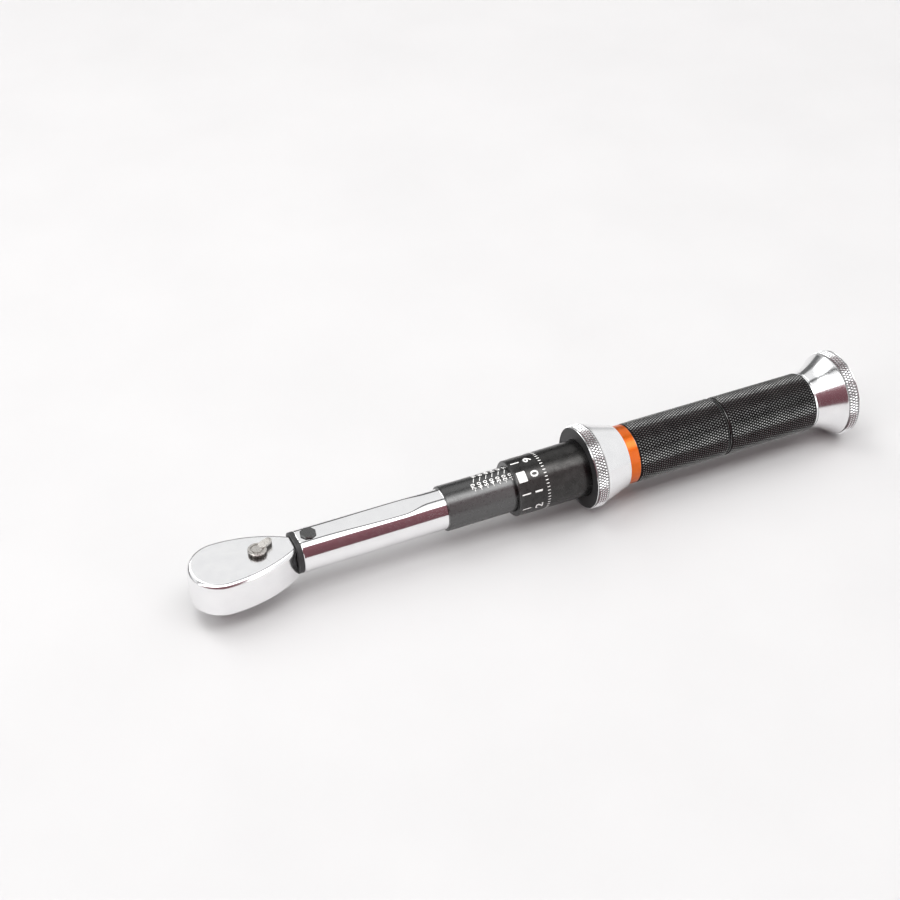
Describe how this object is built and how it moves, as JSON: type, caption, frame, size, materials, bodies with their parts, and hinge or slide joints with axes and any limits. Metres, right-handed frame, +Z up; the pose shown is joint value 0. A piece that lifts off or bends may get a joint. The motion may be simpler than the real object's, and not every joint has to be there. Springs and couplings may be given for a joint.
{
  "type": "torque wrench",
  "caption": "Click torque wrench with a chromed ratchet head, black scale sleeve, knurled grips, orange band and flared silver collars.",
  "frame": {"origin": "centre of the square drive's end face, which stands on the floor", "axes": "+X along the wrench from the head to the handle's end, +Z up along the drive's axis towards the reversing lever, +Y to the left seen from the head's nose towards the handle"},
  "size_m": [0.3864, 0.0488, 0.0488],
  "materials": {
    "polished_chrome": "mirror polished plating",
    "satin_chrome": "satin plating, bright on the knurling",
    "cast_steel": "tumbled casting",
    "black_steel": "satin black oxide",
    "black_plastic": "matte",
    "orange_band": "satin orange",
    "bare_steel": "machined and oiled",
    "spring_steel": "oiled"
  },
  "bodies": {
    "barrel": {"lever_tube": "polished_chrome", "neck_seal": "black_plastic", "scale_sleeve": "black_steel", "pivot_screw": "black_steel", "adjusting_nut": "bare_steel", "nut_pins": "bare_steel", "main_spring": "spring_steel"},
    "head": {"ratchet_head": "polished_chrome", "cover_plate": "polished_chrome", "cover_screws": "black_steel"},
    "drive": {"drive_gear": "polished_chrome", "drive_ball_spring": "spring_steel"},
    "ball": {"drive_ball": "bare_steel"},
    "lever": {"reversing_lever": "cast_steel", "lever_clip": "spring_steel", "detent_ball": "bare_steel", "detent_spring": "spring_steel"},
    "pawl_body": {"pawl": "bare_steel"},
    "rocker": {"click_block": "bare_steel"},
    "slider": {"plunger": "bare_steel"},
    "carriage": {"spring_seat": "bare_steel", "thrust_ball": "bare_steel"},
    "handle": {"adjusting_screw": "bare_steel", "thimble": "black_steel", "lock_balls": "bare_steel", "collar_snap_ring": "spring_steel", "collar_spring": "spring_steel", "lock_band": "orange_band", "grip_front": "black_steel", "grip_rear": "black_steel", "end_cap": "satin_chrome", "end_cap_screw": "black_steel"},
    "collar": {"lock_collar": "satin_chrome", "collar_face_ring": "black_plastic"}
  },
  "joints": [
    {"name": "head_click", "type": "hinge", "parent": "barrel", "child": "head", "pos_m": [0.0461, 0, 0.0244], "axis": [0, 0, 1], "range_deg": [-3, 3], "stiffness_Nm_per_rad": 60},
    {"name": "drive_turn", "type": "hinge", "parent": "head", "child": "drive", "pos_m": [0, 0, 0], "axis": [0, 0, 1], "continuous": true},
    {"name": "ball_press", "type": "slide", "parent": "drive", "child": "ball", "axis": [0, 1, 0], "range_m": [0, 0.0007], "stiffness_N_per_m": 2000, "deforming": ["drive_ball_spring"]},
    {"name": "lever_swing", "type": "hinge", "parent": "head", "child": "lever", "pos_m": [0.0187, 0, 0.0321], "axis": [0, 0, 1], "range_deg": [-52, 0]},
    {"name": "pawl_rock", "type": "hinge", "parent": "head", "child": "pawl_body", "pos_m": [0.0187, 0, 0.0217], "axis": [0, 0, 1], "range_deg": [0, 12]},
    {"name": "block_tip", "type": "hinge", "parent": "barrel", "child": "rocker", "pos_m": [0.0799, 0, 0.0244], "axis": [0, 0, 1], "range_deg": [-12, 12]},
    {"name": "plunger_push", "type": "slide", "parent": "barrel", "child": "slider", "axis": [1, 0, 0], "range_m": [0, 0.0015], "stiffness_N_per_m": 15000, "deforming": ["main_spring"]},
    {"name": "handle_travel", "type": "slide", "parent": "barrel", "child": "carriage", "axis": [1, 0, 0], "range_m": [-0.0234, 0.0018], "deforming": ["main_spring"]},
    {"name": "handle_turn", "type": "hinge", "parent": "carriage", "child": "handle", "pos_m": [0.2885, 0, 0.0244], "axis": [1, 0, 0], "range_deg": [-2340, 180]},
    {"name": "collar_pull", "type": "slide", "parent": "handle", "child": "collar", "axis": [1, 0, 0], "range_m": [0, 0.005], "stiffness_N_per_m": 2000, "deforming": ["collar_spring"]}
  ],
  "couplings": [
    {"joint": "pawl_rock", "follows": "lever_swing", "ratio": -0.23077},
    {"joint": "block_tip", "follows": "head_click", "ratio": -4},
    {"joint": "handle_travel", "follows": "handle_turn", "m_per_rad": 0.00057296}
  ]
}
